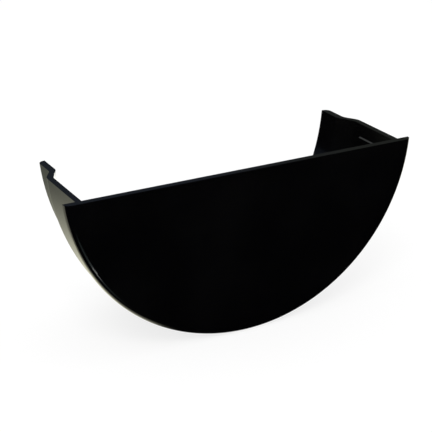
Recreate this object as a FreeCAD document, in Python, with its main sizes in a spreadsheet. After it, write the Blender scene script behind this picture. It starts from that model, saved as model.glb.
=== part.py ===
# Gutter end cap: one moulded piece, a D-shaped end plate with a stepped half-round band behind it.
# Millimetres. X runs across the gutter, Y runs from the plate into the gutter, Z is up.
# The origin is the middle of the plate's top edge, on its outer face.

import FreeCAD, Part
import math
import os
import Sketcher

doc = FreeCAD.newDocument("gutter_end_cap")

# Driving dimensions, each a plain number with a name of its own
DIMENSIONS = [
    ("rim_radius", 60.65, "radius of the plate's round edge"),
    ("rim_rise", 6.1, "height of the round edge's centre above the plate's top edge"),
    ("plate_thick", 2.3, "thickness of the end plate"),
    ("face_edge_round", 2.1, "rounding of the plate's outer edge, nearly its whole thickness"),
    ("side_lip", 4.05, "how far the plate stands out past the band at its top corners"),
    ("side_shift", 16.6, "how far past the middle the centre of each bowed side lies"),
    ("shoulder_radius", 35.0, "radius of the bend between a side and the round bottom"),
    ("wall_thick", 2.0, "thickness of the wall in the wide part of the band"),
    ("nose_thick", 2.35, "thickness of the wall in the nose"),
    ("band_depth", 24.2, "from the outer face to the end of the wide part of the band"),
    ("step_run", 7.0, "length of the slanted step between the wide part and the nose"),
    ("nose_inset", 2.85, "how far the nose steps in from the wide part"),
    ("cap_depth", 40.2, "from the outer face to the end of the nose"),
    ("nose_lead", 2.1, "rounding of the nose's outer end, which leads it into the joint"),
    ("rib_drop", 3.5, "depth of the clip ribs' upper side below the top edges, at its root in the wall"),
    ("rib_slant", 1.0, "how far that upper side slopes down from its root to its tip"),
    ("rib_tall", 2.2, "height of the clip ribs at their root"),
    ("rib_proud", 0.4, "how far the clip ribs stand in from the wall"),
    ("rib_end", 20.3, "from the outer face to the end of the clip ribs"),
    ("over_cut", 1.5, "how far a cut runs clear of the top edges"),
]

dims = doc.addObject("Spreadsheet::Sheet", "dims")
size = {}
for row, (alias, value, meaning) in enumerate(DIMENSIONS, start=1):
    dims.set(f"A{row}", meaning)
    dims.set(f"B{row}", str(value))
    dims.setAlias(f"B{row}", alias)
    size[alias] = value
doc.recompute()

# Half the plate's width along its top edge, and the radius of the band's bowed sides.
# Their centres lie level with the rim's centre, and the arcs run up to the top edges.
PLATE_HALF = "sqrt(dims.rim_radius^2 - dims.rim_rise^2)"
SIDE_RADIUS = f"sqrt(({PLATE_HALF} - dims.side_lip + dims.side_shift)^2 + dims.rim_rise^2)"
STEP_END = "dims.band_depth + dims.step_run"

plate_half = math.sqrt(size["rim_radius"] ** 2 - size["rim_rise"] ** 2)
side_radius = math.hypot(plate_half - size["side_lip"] + size["side_shift"], size["rim_rise"])

cap = doc.addObject("PartDesign::Body", "end_cap")
cap.Label = "end_cap"


def origin_plane(body, role):
    for feature in body.Origin.OriginFeatures:
        if feature.Role == role:
            return feature
    raise RuntimeError("no plane " + role)


def upright_sketch(name, depth):
    """A sketch across the gutter, at a depth behind the plate's outer face."""
    sketch = cap.newObject("Sketcher::SketchObject", name)
    sketch.AttachmentSupport = [(origin_plane(cap, "XZ_Plane"), "")]
    sketch.MapMode = "FlatFace"
    sketch.setExpression("AttachmentOffset.Base.z", f"-({depth})")
    return sketch


def point(x, z):
    return FreeCAD.Vector(x, z, 0)


def arc(sketch, x, z, radius, start, end):
    """Add an arc that turns anticlockwise between two angles in degrees."""
    circle = Part.Circle(point(x, z), FreeCAD.Vector(0, 0, 1), radius)
    return sketch.addGeometry(Part.ArcOfCircle(circle, math.radians(start), math.radians(end)), False)


def bind(sketch, constraint, expression):
    index = sketch.addConstraint(constraint)
    sketch.setExpression(f"Constraints[{index}]", expression)


def band_profile(name, depth, inset, inset_value, hollow=False):
    """The band's outline moved inwards by an inset, closed by a straight line along its top.

    A hollow's outline runs past the top edges, so that what it cuts is open there.

    Two bowed sides, two tighter shoulders and a round bottom run into each other. The whole
    outline shares its centres with the plate's edge, so an inset only shortens the radii.
    """
    sketch = upright_sketch(name, depth)
    rise = size["rim_rise"]
    shift = size["side_shift"]
    bow = side_radius - inset_value
    bend = size["shoulder_radius"] - inset_value
    base = size["rim_radius"] - inset_value
    # The shoulder touches both neighbours from inside, which fixes its centre
    along = (shift**2 - (bow - bend) ** 2 + (base - bend) ** 2) / (2 * shift)
    below = math.sqrt((base - bend) ** 2 - along**2)
    side_turn = math.degrees(math.atan2(below, shift - along))
    base_turn = math.degrees(math.atan2(below, -along))
    level = size["over_cut"] if hollow else 0.0
    top_turn = math.degrees(math.asin((rise - level) / bow))

    left_side = arc(sketch, shift, rise, bow, 180 + top_turn, 180 + side_turn)
    left_bend = arc(sketch, along, rise - below, bend, 180 + side_turn, 180 + base_turn)
    bottom = arc(sketch, 0, rise, base, 180 + base_turn, 360 - base_turn)
    right_bend = arc(sketch, -along, rise - below, bend, 360 - base_turn, 360 - side_turn)
    right_side = arc(sketch, -shift, rise, bow, 360 - side_turn, 360 - top_turn)
    half = bow * math.cos(math.radians(top_turn)) - shift
    lid = sketch.addGeometry(Part.LineSegment(point(half, level), point(-half, level)), False)

    chain = (left_side, left_bend, bottom, right_bend, right_side)
    for first, second in zip(chain, chain[1:]):
        sketch.addConstraint(Sketcher.Constraint("Tangent", first, 2, second, 1))
    sketch.addConstraint(Sketcher.Constraint("Coincident", right_side, 2, lid, 1))
    sketch.addConstraint(Sketcher.Constraint("Coincident", lid, 2, left_side, 1))
    sketch.addConstraint(Sketcher.Constraint("Horizontal", lid))
    sketch.addConstraint(Sketcher.Constraint("PointOnObject", bottom, 3, -2))
    sketch.addConstraint(Sketcher.Constraint("Equal", left_bend, right_bend))
    bind(sketch, Sketcher.Constraint("DistanceY", -1, 1, bottom, 3, rise), "dims.rim_rise")
    bind(sketch, Sketcher.Constraint("DistanceY", -1, 1, left_side, 3, rise), "dims.rim_rise")
    bind(sketch, Sketcher.Constraint("DistanceY", -1, 1, right_side, 3, rise), "dims.rim_rise")
    bind(sketch, Sketcher.Constraint("DistanceX", -1, 1, left_side, 3, shift), "dims.side_shift")
    bind(sketch, Sketcher.Constraint("DistanceX", right_side, 3, -1, 1, shift), "dims.side_shift")
    bind(sketch, Sketcher.Constraint("Radius", bottom, base), f"dims.rim_radius - ({inset})")
    bind(sketch, Sketcher.Constraint("Radius", left_side, bow), f"{SIDE_RADIUS} - ({inset})")
    bind(sketch, Sketcher.Constraint("Radius", right_side, bow), f"{SIDE_RADIUS} - ({inset})")
    bind(sketch, Sketcher.Constraint("Radius", left_bend, bend), f"dims.shoulder_radius - ({inset})")
    if hollow:
        bind(sketch, Sketcher.Constraint("DistanceY", -1, 1, lid, 1, level), "dims.over_cut")
    else:
        sketch.addConstraint(Sketcher.Constraint("PointOnObject", lid, 1, -1))
    return sketch


def extrude(kind, name, sketch, length):
    """Pad or pocket a sketch towards the gutter."""
    feature = cap.newObject("PartDesign::" + kind, name)
    feature.Profile = sketch
    feature.setExpression("Length", length)
    feature.Reversed = kind == "Pad"
    return feature


def loft(kind, name, outlines, straight):
    """Loft from the first outline through the others, with straight or smooth sides."""
    feature = cap.newObject("PartDesign::" + kind, name)
    feature.Profile = outlines[0]
    feature.Sections = outlines[1:]
    feature.Ruled = straight
    return feature


# End plate: a disc cut off straight along its top edge
plate_sketch = upright_sketch("plate_outline", "0")
corner_turn = math.degrees(math.asin(size["rim_rise"] / size["rim_radius"]))
edge = arc(plate_sketch, 0, size["rim_rise"], size["rim_radius"], 180 + corner_turn, 360 - corner_turn)
chord = plate_sketch.addGeometry(Part.LineSegment(point(plate_half, 0), point(-plate_half, 0)), False)
plate_sketch.addConstraint(Sketcher.Constraint("Coincident", edge, 2, chord, 1))
plate_sketch.addConstraint(Sketcher.Constraint("Coincident", chord, 2, edge, 1))
plate_sketch.addConstraint(Sketcher.Constraint("PointOnObject", chord, 1, -1))
plate_sketch.addConstraint(Sketcher.Constraint("PointOnObject", chord, 2, -1))
plate_sketch.addConstraint(Sketcher.Constraint("PointOnObject", edge, 3, -2))
bind(plate_sketch, Sketcher.Constraint("DistanceY", -1, 1, edge, 3, size["rim_rise"]), "dims.rim_rise")
bind(plate_sketch, Sketcher.Constraint("Radius", edge, size["rim_radius"]), "dims.rim_radius")
plate = extrude("Pad", "plate", plate_sketch, "dims.plate_thick")

# Band: the wide part, the slanted step and the nose, built solid first
wide_outline = band_profile("wide_outline", "dims.plate_thick", "0", 0.0)
wide_part = extrude("Pad", "wide_part", wide_outline, "dims.band_depth - dims.plate_thick")
step_start = band_profile("step_start", "dims.band_depth", "0", 0.0)
quarter = size["nose_inset"] / 4
step_high = band_profile(
    "step_high", "dims.band_depth + dims.step_run / 3", "dims.nose_inset / 4", quarter
)
step_low = band_profile(
    "step_low", "dims.band_depth + dims.step_run * 2 / 3", "dims.nose_inset * 3 / 4", 3 * quarter
)
nose_outline = band_profile("nose_outline", STEP_END, "dims.nose_inset", size["nose_inset"])
# On the outside the step runs in and out softly, so it is smooth through two outlines between
step = loft("AdditiveLoft", "step", [step_start, step_high, step_low, nose_outline], False)
nose = extrude("Pad", "nose", nose_outline, f"dims.cap_depth - ({STEP_END})")


def on_outline(edge, depth, inset):
    """Whether an edge lies at a depth, on the band's round outline moved in by an inset."""
    box = edge.BoundBox
    if abs(box.YMin - depth) > 0.01 or abs(box.YMax - depth) > 0.01:
        return False
    middle = edge.valueAt((edge.FirstParameter + edge.LastParameter) / 2)
    bottom = math.hypot(middle.x, middle.z - size["rim_rise"]) - (size["rim_radius"] - inset)
    side_reach = math.hypot(abs(middle.x) + size["side_shift"], middle.z - size["rim_rise"])
    side = side_reach - (side_radius - inset)
    return -0.6 < max(bottom, side) < 0.01 and middle.z < -0.01


def outline_edges(feature, depth, inset):
    names = []
    for index, edge in enumerate(feature.Shape.Edges, start=1):
        if on_outline(edge, depth, inset):
            names.append(f"Edge{index}")
    return names


# Hollow: the same outline moved in by the wall, open at the top and at the mouth
wall = size["wall_thick"]
nose_wall = size["nose_inset"] + size["nose_thick"]
NOSE_WALL = "dims.nose_inset + dims.nose_thick"
wide_hollow_outline = band_profile("wide_hollow_outline", "dims.plate_thick", "dims.wall_thick", wall, True)
wide_hollow = extrude("Pocket", "wide_hollow", wide_hollow_outline, "dims.band_depth - dims.plate_thick")
step_hollow_start = band_profile("step_hollow_start", "dims.band_depth", "dims.wall_thick", wall, True)
nose_hollow_outline = band_profile("nose_hollow_outline", STEP_END, NOSE_WALL, nose_wall, True)
step_hollow = loft("SubtractiveLoft", "step_hollow", [step_hollow_start, nose_hollow_outline], True)
NOSE_CUT = f"dims.cap_depth - ({STEP_END}) + dims.over_cut"
nose_hollow = extrude("Pocket", "nose_hollow", nose_hollow_outline, NOSE_CUT)


TIP_RADIUS = f"{SIDE_RADIUS} - dims.wall_thick - dims.rib_proud"


def rib_profile(name, depth):
    """Both clip ribs across the gutter: short bars on the band's inner sides, with sloping tops."""
    sketch = upright_sketch(name, depth)
    rise = size["rim_rise"]
    shift = size["side_shift"]
    high = -size["rib_drop"]
    low = high - size["rib_tall"]
    shelf = high - size["rib_slant"]
    # Each rib runs from inside the wall, for a sound joint, to where it stands proud
    root = side_radius - wall / 2
    tip = side_radius - wall - size["rib_proud"]
    for side in (-1, 1):
        centre = -side * shift
        corners = []
        for reach, level in ((root, high), (root, low), (tip, low), (tip, shelf)):
            corners.append((centre + side * math.sqrt(reach**2 - (rise - level) ** 2), level))
        turns = {}
        for key, (x, z) in zip(("root_high", "root_low", "tip_low", "tip_high"), corners):
            turns[key] = math.degrees(math.atan2(z - rise, x - centre)) % 360
        start, end = ("high", "low") if side < 0 else ("low", "high")
        outer = arc(sketch, centre, rise, root, turns["root_" + start], turns["root_" + end])
        inner = arc(sketch, centre, rise, tip, turns["tip_" + start], turns["tip_" + end])
        first = sketch.addGeometry(Part.LineSegment(point(*corners[1]), point(*corners[2])), False)
        second = sketch.addGeometry(Part.LineSegment(point(*corners[3]), point(*corners[0])), False)
        top_end, low_end = (1, 2) if side < 0 else (2, 1)
        sketch.addConstraint(Sketcher.Constraint("Coincident", outer, low_end, first, 1))
        sketch.addConstraint(Sketcher.Constraint("Coincident", first, 2, inner, low_end))
        sketch.addConstraint(Sketcher.Constraint("Coincident", inner, top_end, second, 1))
        sketch.addConstraint(Sketcher.Constraint("Coincident", second, 2, outer, top_end))
        sketch.addConstraint(Sketcher.Constraint("Coincident", outer, 3, inner, 3))
        sketch.addConstraint(Sketcher.Constraint("Horizontal", first))
        bind(sketch, Sketcher.Constraint("DistanceY", -1, 1, outer, 3, rise), "dims.rim_rise")
        if side < 0:
            bind(sketch, Sketcher.Constraint("DistanceX", -1, 1, outer, 3, shift), "dims.side_shift")
        else:
            bind(sketch, Sketcher.Constraint("DistanceX", outer, 3, -1, 1, shift), "dims.side_shift")
        bind(sketch, Sketcher.Constraint("Radius", outer, root), f"{SIDE_RADIUS} - dims.wall_thick / 2")
        bind(sketch, Sketcher.Constraint("Radius", inner, tip), TIP_RADIUS)
        bind(sketch, Sketcher.Constraint("DistanceY", second, 2, -1, 1, -high), "dims.rib_drop")
        bind(sketch, Sketcher.Constraint("DistanceY", second, 1, second, 2, high - shelf), "dims.rib_slant")
        bind(sketch, Sketcher.Constraint("DistanceY", first, 1, second, 2, high - low), "dims.rib_tall")
    return sketch


# Clip ribs: a low bar inside each side, just under the top edge, from the plate nearly to the step
rib_outline = rib_profile("rib_outline", "dims.plate_thick / 2")
ribs = extrude("Pad", "ribs", rib_outline, "dims.rib_end - dims.plate_thick / 2")
doc.recompute()

# Soft edges: the plate's outer edge, and the lead round the outside of the nose
face_round = cap.newObject("PartDesign::Fillet", "face_round")
face_round.Base = (ribs, outline_edges(ribs, 0.0, 0.0))
face_round.setExpression("Radius", "min(dims.face_edge_round; 0.95 * dims.plate_thick)")
doc.recompute()
lead = cap.newObject("PartDesign::Fillet", "lead")
lead.Base = (face_round, outline_edges(face_round, size["cap_depth"], size["nose_inset"]))
lead.setExpression("Radius", "min(dims.nose_lead; 0.95 * dims.nose_thick)")
doc.recompute()

cap.Tip = lead
doc.recompute()

for item in doc.Objects:
    if "Invalid" in item.State or "Error" in item.State:
        raise RuntimeError(f"{item.Label} failed: {item.State}")

os.makedirs("parts", exist_ok=True)
for piece in [cap]:
    if piece.Shape.isNull() or not piece.Shape.isValid() or len(piece.Shape.Solids) != 1:
        raise RuntimeError(f"{piece.Label} is not one valid solid")
    piece.Shape.exportStep(f"parts/{piece.Label}.step")
    box = piece.Shape.BoundBox
    print(piece.Label, "volume", round(piece.Shape.Volume, 1), "box", box)
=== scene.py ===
# %% [markdown]
# # A gutter end cap in glossy black plastic
# The cap closes the open end of a half-round gutter. It is one moulding: a flat end plate shaped
# like a D on its side, and behind it a half-round band that steps in to a narrower nose.
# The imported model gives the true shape, so this file adds the plastic, the light and the camera.

import math

import bpy
from mathutils import Matrix, Vector


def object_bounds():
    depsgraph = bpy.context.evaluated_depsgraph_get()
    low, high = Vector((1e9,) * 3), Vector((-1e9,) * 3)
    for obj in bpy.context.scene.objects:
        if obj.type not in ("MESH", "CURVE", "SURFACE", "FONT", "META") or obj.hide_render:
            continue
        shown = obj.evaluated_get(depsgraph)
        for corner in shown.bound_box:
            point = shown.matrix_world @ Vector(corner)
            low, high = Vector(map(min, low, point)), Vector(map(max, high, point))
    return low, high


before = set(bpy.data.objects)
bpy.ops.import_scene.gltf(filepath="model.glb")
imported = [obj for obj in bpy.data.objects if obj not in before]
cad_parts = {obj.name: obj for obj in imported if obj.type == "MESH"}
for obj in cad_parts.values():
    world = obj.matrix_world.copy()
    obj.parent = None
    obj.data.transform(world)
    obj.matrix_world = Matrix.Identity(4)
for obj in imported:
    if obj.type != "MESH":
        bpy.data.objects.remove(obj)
cad_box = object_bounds()
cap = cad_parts["end_cap"]
print("packed cap, faces:", len(cap.data.polygons))

# %% [markdown]
# ## The camera
# The photograph was taken from the left and a little above, with a fairly long lens. The place
# and the lens were worked out from the straight top edge, the round outline and the two arms.
# A constraint could point the camera, but a plain tracking rotation keeps its angle in the file.
# A small roll is added because the photograph leans.

# %% Camera
CAMERA_PLACE = Vector((-0.18588, -0.33585, 0.14155))
CAMERA_AIM = Vector((-0.01166, 0.0, -0.01259))
CAMERA_ROLL = math.radians(-0.915)
LENS_MM = 111.6
SENSOR_MM = 36.0
NEAREST_SEEN = 0.01


def standing_at(place, aim):
    """Stand at one point and look at another along -Z, as cameras and lamps do."""
    turn = (aim - place).to_track_quat("-Z", "Y").to_matrix().to_4x4()
    return Matrix.Translation(place) @ turn


camera_data = bpy.data.cameras.new("camera")
camera_data.lens = LENS_MM
camera_data.sensor_width = SENSOR_MM
camera_data.clip_start = NEAREST_SEEN
camera = bpy.data.objects.new("camera", camera_data)
bpy.context.collection.objects.link(camera)
camera.matrix_world = standing_at(CAMERA_PLACE, CAMERA_AIM) @ Matrix.Rotation(CAMERA_ROLL, 4, "Z")
bpy.context.scene.camera = camera
print("camera stands", round((CAMERA_AIM - CAMERA_PLACE).length, 3), "m from its aim")


# %% [markdown]
# ## Shader nodes
# A shader is a small graph of nodes. It could be drawn by hand in the editor. Here helpers add a
# node, set its values and join sockets, so that each material reads as a list of steps.

# %% Node helpers
def add_node(tree, kind, **values):
    """Add a node and set its input sockets by name, with spaces written as underscores."""
    node = tree.nodes.new(kind)
    for name, value in values.items():
        node.inputs[name.replace("_", " ")].default_value = value
    return node


def join(tree, start, end):
    tree.links.new(start, end)


def object_noise(tree, **values):
    """Add a noise pattern on the piece's own coordinates, so that it stays on the surface."""
    place = tree.nodes.new("ShaderNodeTexCoord")
    noise = add_node(tree, "ShaderNodeTexNoise", **values)
    join(tree, place.outputs["Object"], noise.inputs["Vector"])
    return noise


# %% [markdown]
# ## The skin of moulded plastic
# A glossy moulding is never a perfect mirror. The polished steel mould leaves a very faint
# ripple, and the flow of the plastic leaves patches that are a little duller. Both belong to the
# surface, so they are made once as a node group with named inputs and put into the material.

# %% Moulded skin group
RIPPLE_DETAIL = 2.0
PATCH_DETAIL = 4.0
PATCH_LOW = 0.35
PATCH_HIGH = 0.65


def moulded_skin_group():
    group = bpy.data.node_groups.new("moulded_skin", "ShaderNodeTree")
    for name in ("Ripple Scale", "Patch Scale", "Gloss", "Dull"):
        group.interface.new_socket(name, in_out="INPUT", socket_type="NodeSocketFloat")
    for name in ("Roughness", "Height"):
        group.interface.new_socket(name, in_out="OUTPUT", socket_type="NodeSocketFloat")
    entry = group.nodes.new("NodeGroupInput")
    leave = group.nodes.new("NodeGroupOutput")
    ripple = object_noise(group, Detail=RIPPLE_DETAIL)
    join(group, entry.outputs["Ripple Scale"], ripple.inputs["Scale"])
    join(group, ripple.outputs["Fac"], leave.inputs["Height"])
    patch = object_noise(group, Detail=PATCH_DETAIL)
    join(group, entry.outputs["Patch Scale"], patch.inputs["Scale"])
    rough = add_node(group, "ShaderNodeMapRange", From_Min=PATCH_LOW, From_Max=PATCH_HIGH)
    join(group, patch.outputs["Fac"], rough.inputs["Value"])
    join(group, entry.outputs["Gloss"], rough.inputs["To Min"])
    join(group, entry.outputs["Dull"], rough.inputs["To Max"])
    join(group, rough.outputs["Result"], leave.inputs["Roughness"])
    return group


moulded_skin = moulded_skin_group()
print("moulded skin has", len(moulded_skin.nodes), "nodes")


# %% [markdown]
# ## Soft limits and blends
# Most masks in this file are soft limits: a value runs smoothly from 0 to 1 between two places,
# and the two places may be given in either order. A colour ramp could do it too, but a limit
# with two plain numbers is easier to read and to move. A mask then blends two colours.

# %% Soft limits and blends
def soft_step(tree, value, low, high):
    """Run smoothly from 0 at low to 1 at high."""
    node = add_node(tree, "ShaderNodeMapRange", From_Min=low, From_Max=high)
    node.interpolation_type = "SMOOTHSTEP"
    join(tree, value, node.inputs["Value"])
    return node.outputs["Result"]


def blend_colour(tree, mask, first, second):
    """Mix two colours, each a socket or a plain colour."""
    node = tree.nodes.new("ShaderNodeMix")
    node.data_type = "RGBA"
    join(tree, mask, node.inputs["Factor"])
    for name, colour in (("A", first), ("B", second)):
        socket = next(s for s in node.inputs if s.name == name and s.type == "RGBA")
        if isinstance(colour, tuple):
            socket.default_value = (*colour, 1.0)
        else:
            join(tree, colour, socket)
    return next(s for s in node.outputs if s.type == "RGBA")


# %% [markdown]
# ## Black plastic
# The plastic is dyed through, so its colour is nearly flat and very dark, and almost all that is
# seen is gloss: at a slanting view the sides mirror the pale table, and the front stays black.
# A faint cloud of two near blacks keeps the colour from being quite even. The ripple of the skin
# reaches the surface as a bump, because it is far too shallow to be worth modelling.

# %% Black plastic
PLASTIC_BLACK = (0.0006, 0.0006, 0.0008)
PLASTIC_GREY = (0.0012, 0.0012, 0.0014)
PLASTIC_IOR = 1.5
CLOUD_SCALE = 45.0
CLOUD_DETAIL = 5.0
CLOUD_EDGE = (0.4, 0.7)
PLASTIC_SKIN = {"Ripple Scale": 260.0, "Patch Scale": 30.0, "Gloss": 0.1, "Dull": 0.17}
RIPPLE_STRENGTH = 0.05
RIPPLE_DEPTH = 0.0002


def black_plastic():
    material = bpy.data.materials.new("black_plastic")
    material.use_nodes = True
    tree = material.node_tree
    shader = tree.nodes["Principled BSDF"]
    shader.inputs["IOR"].default_value = PLASTIC_IOR
    cloud = object_noise(tree, Scale=CLOUD_SCALE, Detail=CLOUD_DETAIL)
    mask = soft_step(tree, cloud.outputs["Fac"], *CLOUD_EDGE)
    join(tree, blend_colour(tree, mask, PLASTIC_BLACK, PLASTIC_GREY), shader.inputs["Base Color"])
    skin = tree.nodes.new("ShaderNodeGroup")
    skin.node_tree = moulded_skin
    for name, value in PLASTIC_SKIN.items():
        skin.inputs[name].default_value = value
    join(tree, skin.outputs["Roughness"], shader.inputs["Roughness"])
    bump = add_node(tree, "ShaderNodeBump", Strength=RIPPLE_STRENGTH, Distance=RIPPLE_DEPTH)
    join(tree, skin.outputs["Height"], bump.inputs["Height"])
    join(tree, bump.outputs["Normal"], shader.inputs["Normal"])
    return material


plastic = black_plastic()
for material_slot in cap.material_slots:
    material_slot.material = plastic
print("cap wears", plastic.name)


# %% [markdown]
# ## The table that the camera sees
# The cap stands on its round bottom on a white table. Lit paper alone would come out grey, and
# more light would make the black plastic too pale. So the camera sees a sheet that is white by
# itself, with a share of lit paper in it. That share carries the soft shadow, and it fades out
# far from the cap, so that the table meets the white background without a seam.

# %% The table that the camera sees
WHITE = (1.0, 1.0, 1.0)
TABLE_WHITE = 1.06
PAPER_WHITE = (0.9, 0.9, 0.9)
SHADOW_SHARE = 0.25
SHADOW_REACH = (1.6, 0.5)


def length_of(tree, vector):
    node = tree.nodes.new("ShaderNodeVectorMath")
    node.operation = "LENGTH"
    join(tree, vector, node.inputs[0])
    return node.outputs["Value"]


def mix_shaders(tree, mask, first, second):
    """Show the first shader where the mask is 0 and the second where it is 1."""
    node = tree.nodes.new("ShaderNodeMixShader")
    join(tree, mask, node.inputs[0])
    join(tree, first.outputs[0], node.inputs[1])
    join(tree, second.outputs[0], node.inputs[2])
    return node


def table_seen(tree, place, paper):
    white = add_node(tree, "ShaderNodeEmission", Color=(*WHITE, 1.0), Strength=TABLE_WHITE)
    near_cap = soft_step(tree, length_of(tree, place.outputs["Object"]), *SHADOW_REACH)
    share = tree.nodes.new("ShaderNodeMath")
    share.operation = "MULTIPLY"
    share.inputs[1].default_value = SHADOW_SHARE
    join(tree, near_cap, share.inputs[0])
    return mix_shaders(tree, share.outputs["Value"], white, paper)


# %% [markdown]
# ## Masks for the mirrored table
# Almost all that shows on black gloss is what it mirrors, so the light on the table is laid out
# with masks, where many lamps would be hard to place. Two masks can be multiplied, which asks
# for both, or the larger one taken, which asks for either. A limit may also run at a slant.

# %% Masks
def combine(tree, operation, first, second):
    """Combine two values: MULTIPLY asks for both masks, MAXIMUM for either of them."""
    node = tree.nodes.new("ShaderNodeMath")
    node.operation = operation
    join(tree, first, node.inputs[0])
    join(tree, second, node.inputs[1])
    return node.outputs["Value"]


def both(tree, first, second):
    return combine(tree, "MULTIPLY", first, second)


def either(tree, first, second):
    return combine(tree, "MAXIMUM", first, second)


def slanted(tree, along, across, slant):
    """Measure along one axis, plus a share of the other, so that a limit can run at a slant."""
    node = tree.nodes.new("ShaderNodeMath")
    node.operation = "MULTIPLY_ADD"
    node.inputs[1].default_value = slant
    join(tree, across, node.inputs[0])
    join(tree, along, node.inputs[2])
    return node.outputs["Value"]


# %% [markdown]
# ## The table that the gloss mirrors
# In the photograph the left wall is pale, while the front and the inside are black. So the lit
# part of the table is a strip on the left, which reaches round behind the cap. Each limit below
# is a pair of places in metres: where the light is gone and where it is full. The table is lit
# again well away in front and on the right, which only other views show.

# %% Limits of the lit strip
# These limits place painted light on the table that the gloss mirrors; the rest of it, outside the
# pools, is painted shade.
LIT_LEFT = (-0.24, -0.17)
LIT_RIGHT = (-0.022, -0.036)
LIT_BEHIND = (0.03, 0.06)
LIT_END = (0.2, 0.165)
LIT_FRONT = (-0.006, 0.006)
LIT_NEAR = (-0.034, -0.016)
NEAR_SLANT = 0.33
FAR_FRONT = (-0.16, -0.24)
FAR_RIGHT = (0.18, 0.26)


def clear_of_cap(tree, x, y):
    """Mask the table on the cap's left and behind it."""
    return either(tree, soft_step(tree, x, *LIT_RIGHT), soft_step(tree, y, *LIT_BEHIND))


def lit_strip(tree, x, y, clear):
    """Mask the strip of painted light inside its limits, and the painted light far in front and on
    the right.
    """
    slant = soft_step(tree, slanted(tree, y, x, NEAR_SLANT), *LIT_NEAR)
    near = both(tree, slant, soft_step(tree, y, *LIT_FRONT))
    ends = both(tree, soft_step(tree, x, *LIT_LEFT), soft_step(tree, y, *LIT_END))
    strip = both(tree, both(tree, ends, clear), near)
    for direction, limits in ((x, FAR_RIGHT), (y, FAR_FRONT)):
        strip = either(tree, strip, soft_step(tree, direction, *limits))
    return strip


# %% [markdown]
# ## Pools of light
# Four oval pools of painted light give, in reflection, what the strip alone can't: the bright
# lower part of the left wall, the white look of the inner side of the left arm's step, and the
# faint line with its short painted glint on the plate's rounded edge. Small lamps could do it,
# but they would light the table and show in every view.
# Each row holds a pool's middle, its half-lengths, the share of it that is fully lit, its colour.

# %% Pools of light
POOL_TURN = math.radians(50.0)
# Painted light on the mirrored table: the pools show on the cap as painted reflections, the last
# one as a painted glint.
POOLS = {
    "left wall": ((-0.072, 0.034, 0.0), (0.025, 0.041, 1.0), 0.45, (2.75, 2.7, 2.0)),
    "left arm's step": ((0.025, 0.14, 0.0), (0.035, 0.035, 1.0), 0.5, (2.4, 2.4, 2.3)),
    "faint line": ((-0.0626, -0.0371, 0.0), (0.036, 0.009, 1.0), 0.45, (0.28, 0.37, 0.36)),
    "glint": ((-0.0583, -0.0319, 0.0), (0.0062, 0.007, 1.0), 0.0, (4.2, 4.2, 4.1)),
}


def pool_of_light(tree, place, centre, reach, core):
    """Mark an oval pool on the table: full out to its core, gone at its rim."""
    axes = add_node(tree, "ShaderNodeMapping", Location=centre, Scale=reach)
    axes.vector_type = "TEXTURE"
    axes.inputs["Rotation"].default_value = (0.0, 0.0, POOL_TURN)
    join(tree, place.outputs["Object"], axes.inputs["Vector"])
    return soft_step(tree, length_of(tree, axes.outputs["Vector"]), 1.0, core)


print("pools of light for:", ", ".join(POOLS))

# %% [markdown]
# ## Painted light and shade of the mirrored table
# The left wall looks a warm, slightly yellow grey through what it mirrors, and paler towards the
# plate's lower edge. So the painted light of the strip has that tint, and it is brighter beside
# the plate than far behind. The strip and the pools of painted light are laid over the table in
# painted shade one after another, and the result is given as light of its own, so that it looks
# the same whatever stands near it.

# %% Painted light and shade of the mirrored table
# Painted shade for the mirrored table, and the strip's painted light far behind the cap and beside
# the plate.
TABLE_PAINTED_SHADE = (0.003, 0.003, 0.0035)
STRIP_PAINTED_LIGHT_FAR = (0.29, 0.3, 0.24)
STRIP_PAINTED_LIGHT_NEAR = (1.26, 1.24, 0.97)
BRIGHT_BEHIND = (0.155, 0.02)


def table_mirrored(tree, place):
    axes = tree.nodes.new("ShaderNodeSeparateXYZ")
    join(tree, place.outputs["Object"], axes.inputs[0])
    x = axes.outputs["X"]
    y = axes.outputs["Y"]
    clear = clear_of_cap(tree, x, y)
    bright = both(tree, soft_step(tree, y, *BRIGHT_BEHIND), clear)
    strip_painted_light = blend_colour(tree, bright, STRIP_PAINTED_LIGHT_FAR, STRIP_PAINTED_LIGHT_NEAR)
    # Painted shade, with the strip's painted light and then the pools' painted light laid over it.
    light = blend_colour(tree, lit_strip(tree, x, y, clear), TABLE_PAINTED_SHADE, strip_painted_light)
    for centre, reach, core, colour in POOLS.values():
        pool = pool_of_light(tree, place, centre, reach, core)
        light = blend_colour(tree, pool, light, colour)
    mirrored = add_node(tree, "ShaderNodeEmission")
    join(tree, light, mirrored.inputs["Color"])
    return mirrored


# %% [markdown]
# ## The table
# One material holds both tables. Light Path tells them apart by the kind of ray: the camera's
# own rays, those that gloss sends out, and all others, which meet plain paper and carry its soft
# light back to the cap. The table is wide, so that no view reaches its edge near the cap.

# %% Table
TABLE_HEIGHT = cad_box[0][2]
TABLE_HALF = 3.0


def table_material():
    material = bpy.data.materials.new("white_table")
    material.use_nodes = True
    tree = material.node_tree
    tree.nodes.clear()
    place = tree.nodes.new("ShaderNodeTexCoord")
    rays = tree.nodes.new("ShaderNodeLightPath")
    paper = add_node(tree, "ShaderNodeBsdfDiffuse", Color=(*PAPER_WHITE, 1.0))
    seen = table_seen(tree, place, paper)
    plain = mix_shaders(tree, rays.outputs["Is Camera Ray"], paper, seen)
    mirrored = table_mirrored(tree, place)
    final = mix_shaders(tree, rays.outputs["Is Glossy Ray"], plain, mirrored)
    out = tree.nodes.new("ShaderNodeOutputMaterial")
    join(tree, final.outputs[0], out.inputs["Surface"])
    return material


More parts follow.
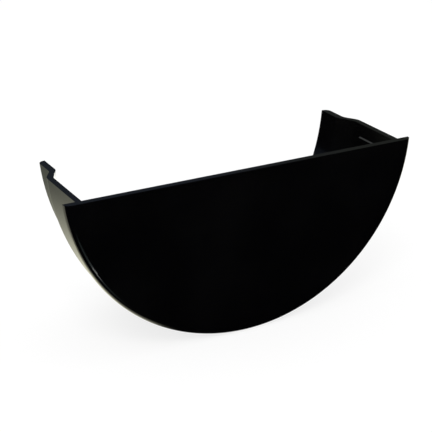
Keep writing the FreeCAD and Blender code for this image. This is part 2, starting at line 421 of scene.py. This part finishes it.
bpy.ops.mesh.primitive_plane_add(size=2 * TABLE_HALF, location=(0, 0, TABLE_HEIGHT))
table = bpy.context.object
table.name = "table"
table.data.materials.append(table_material())
print("table lies", round(-1000 * TABLE_HEIGHT, 1), "mm below the plate's top edge")

# %% [markdown]
# ## The room that the gloss mirrors
# The top edges lie flat, so they mirror the wall behind: dim and bluish, and more neutral towards
# its right corner, as the edges are in the photograph. A window high up behind on the left is
# there for the clip rib on the right, whose sloping upper side shows it as a pale line. A ceiling
# and a studio light at the front right are there for the views from above and from behind. What
# lies in front stays dark, which keeps the plate's face black. The limits are pairs as before,
# measured here along a direction that is 1 long.

# %% The mirrored room
ROOM_FRONT = (0.003, 0.003, 0.0035)
ROOM_BEHIND = (0.06, 0.072, 0.096)
BEHIND_FROM = (-0.2, 0.4)
ROOM_CORNER = (0.066, 0.072, 0.063)
CORNER_FROM = (0.4, 0.54)
WINDOW_LIGHT = (0.5, 0.53, 0.5)
WINDOW_RIGHT = (0.3, 0.05)
WINDOW_LOW = (0.25, 0.45)
STUDIO_LIGHT = (0.36, 0.37, 0.38)
STUDIO_SLANT = -1.2
STUDIO_SIDE = (0.0, -0.3)
STUDIO_LOW = (-0.1, 0.15)
ROOM_CEILING = (0.5, 0.52, 0.55)
CEILING_FROM = (0.5, 0.95)


def room_mirrored(tree, x, y, z):
    behind = soft_step(tree, y, *BEHIND_FROM)
    corner = soft_step(tree, x, *CORNER_FROM)
    back_wall = blend_colour(tree, corner, ROOM_BEHIND, ROOM_CORNER)
    light = blend_colour(tree, behind, ROOM_FRONT, back_wall)
    window = both(tree, soft_step(tree, x, *WINDOW_RIGHT), soft_step(tree, z, *WINDOW_LOW))
    light = blend_colour(tree, both(tree, window, behind), light, WINDOW_LIGHT)
    side = soft_step(tree, slanted(tree, y, x, STUDIO_SLANT), *STUDIO_SIDE)
    studio = both(tree, side, soft_step(tree, z, *STUDIO_LOW))
    light = blend_colour(tree, studio, light, STUDIO_LIGHT)
    return blend_colour(tree, soft_step(tree, z, *CEILING_FROM), light, ROOM_CEILING)


# %% [markdown]
# ## The world
# The world does three things, told apart by Light Path as on the table: the camera sees it white,
# the gloss mirrors the room above, and everything else gets an even, plain light from it. A lit
# picture of a studio could stand in for the room, but this file uses no pictures.

# %% World
ROOM_LIGHT = (0.8, 0.8, 0.8)
WORLD_STRENGTH = 1.0


def room_world():
    world = bpy.data.worlds.new("room")
    world.use_nodes = True
    tree = world.node_tree
    tree.nodes.clear()
    place = tree.nodes.new("ShaderNodeTexCoord")
    axes = tree.nodes.new("ShaderNodeSeparateXYZ")
    join(tree, place.outputs["Generated"], axes.inputs[0])
    mirrored = room_mirrored(tree, axes.outputs["X"], axes.outputs["Y"], axes.outputs["Z"])
    rays = tree.nodes.new("ShaderNodeLightPath")
    light = blend_colour(tree, rays.outputs["Is Glossy Ray"], ROOM_LIGHT, mirrored)
    light = blend_colour(tree, rays.outputs["Is Camera Ray"], light, WHITE)
    background = add_node(tree, "ShaderNodeBackground", Strength=WORLD_STRENGTH)
    join(tree, light, background.inputs["Color"])
    out = tree.nodes.new("ShaderNodeOutputWorld")
    join(tree, background.outputs[0], out.inputs["Surface"])
    return world


bpy.context.scene.world = room_world()
print("room has", len(bpy.context.scene.world.node_tree.nodes), "nodes")

# %% [markdown]
# ## The lamp
# One round softbox stands in front, high on the left. It gives the table the soft shadow on the
# right of the cap. A small lamp or a sun would make that shadow hard.

# %% Lamp
LAMP_PLACE = Vector((-0.45, -0.7, 0.9))
LAMP_AIM = Vector((0.0, 0.0, 0.0))
LAMP_SIZE = 0.5
LAMP_POWER = 6.0

lamp_data = bpy.data.lights.new("softbox", "AREA")
lamp_data.shape = "DISK"
lamp_data.size = LAMP_SIZE
lamp_data.energy = LAMP_POWER
lamp = bpy.data.objects.new("softbox", lamp_data)
bpy.context.collection.objects.link(lamp)
lamp.matrix_world = standing_at(LAMP_PLACE, LAMP_AIM)
print("softbox stands", round((LAMP_AIM - LAMP_PLACE).length, 2), "m from the cap")

# %% [markdown]
# ## Finish
# The Standard view shows colours as they are written.

# %% Finish
bpy.context.scene.view_settings.view_transform = "Standard"
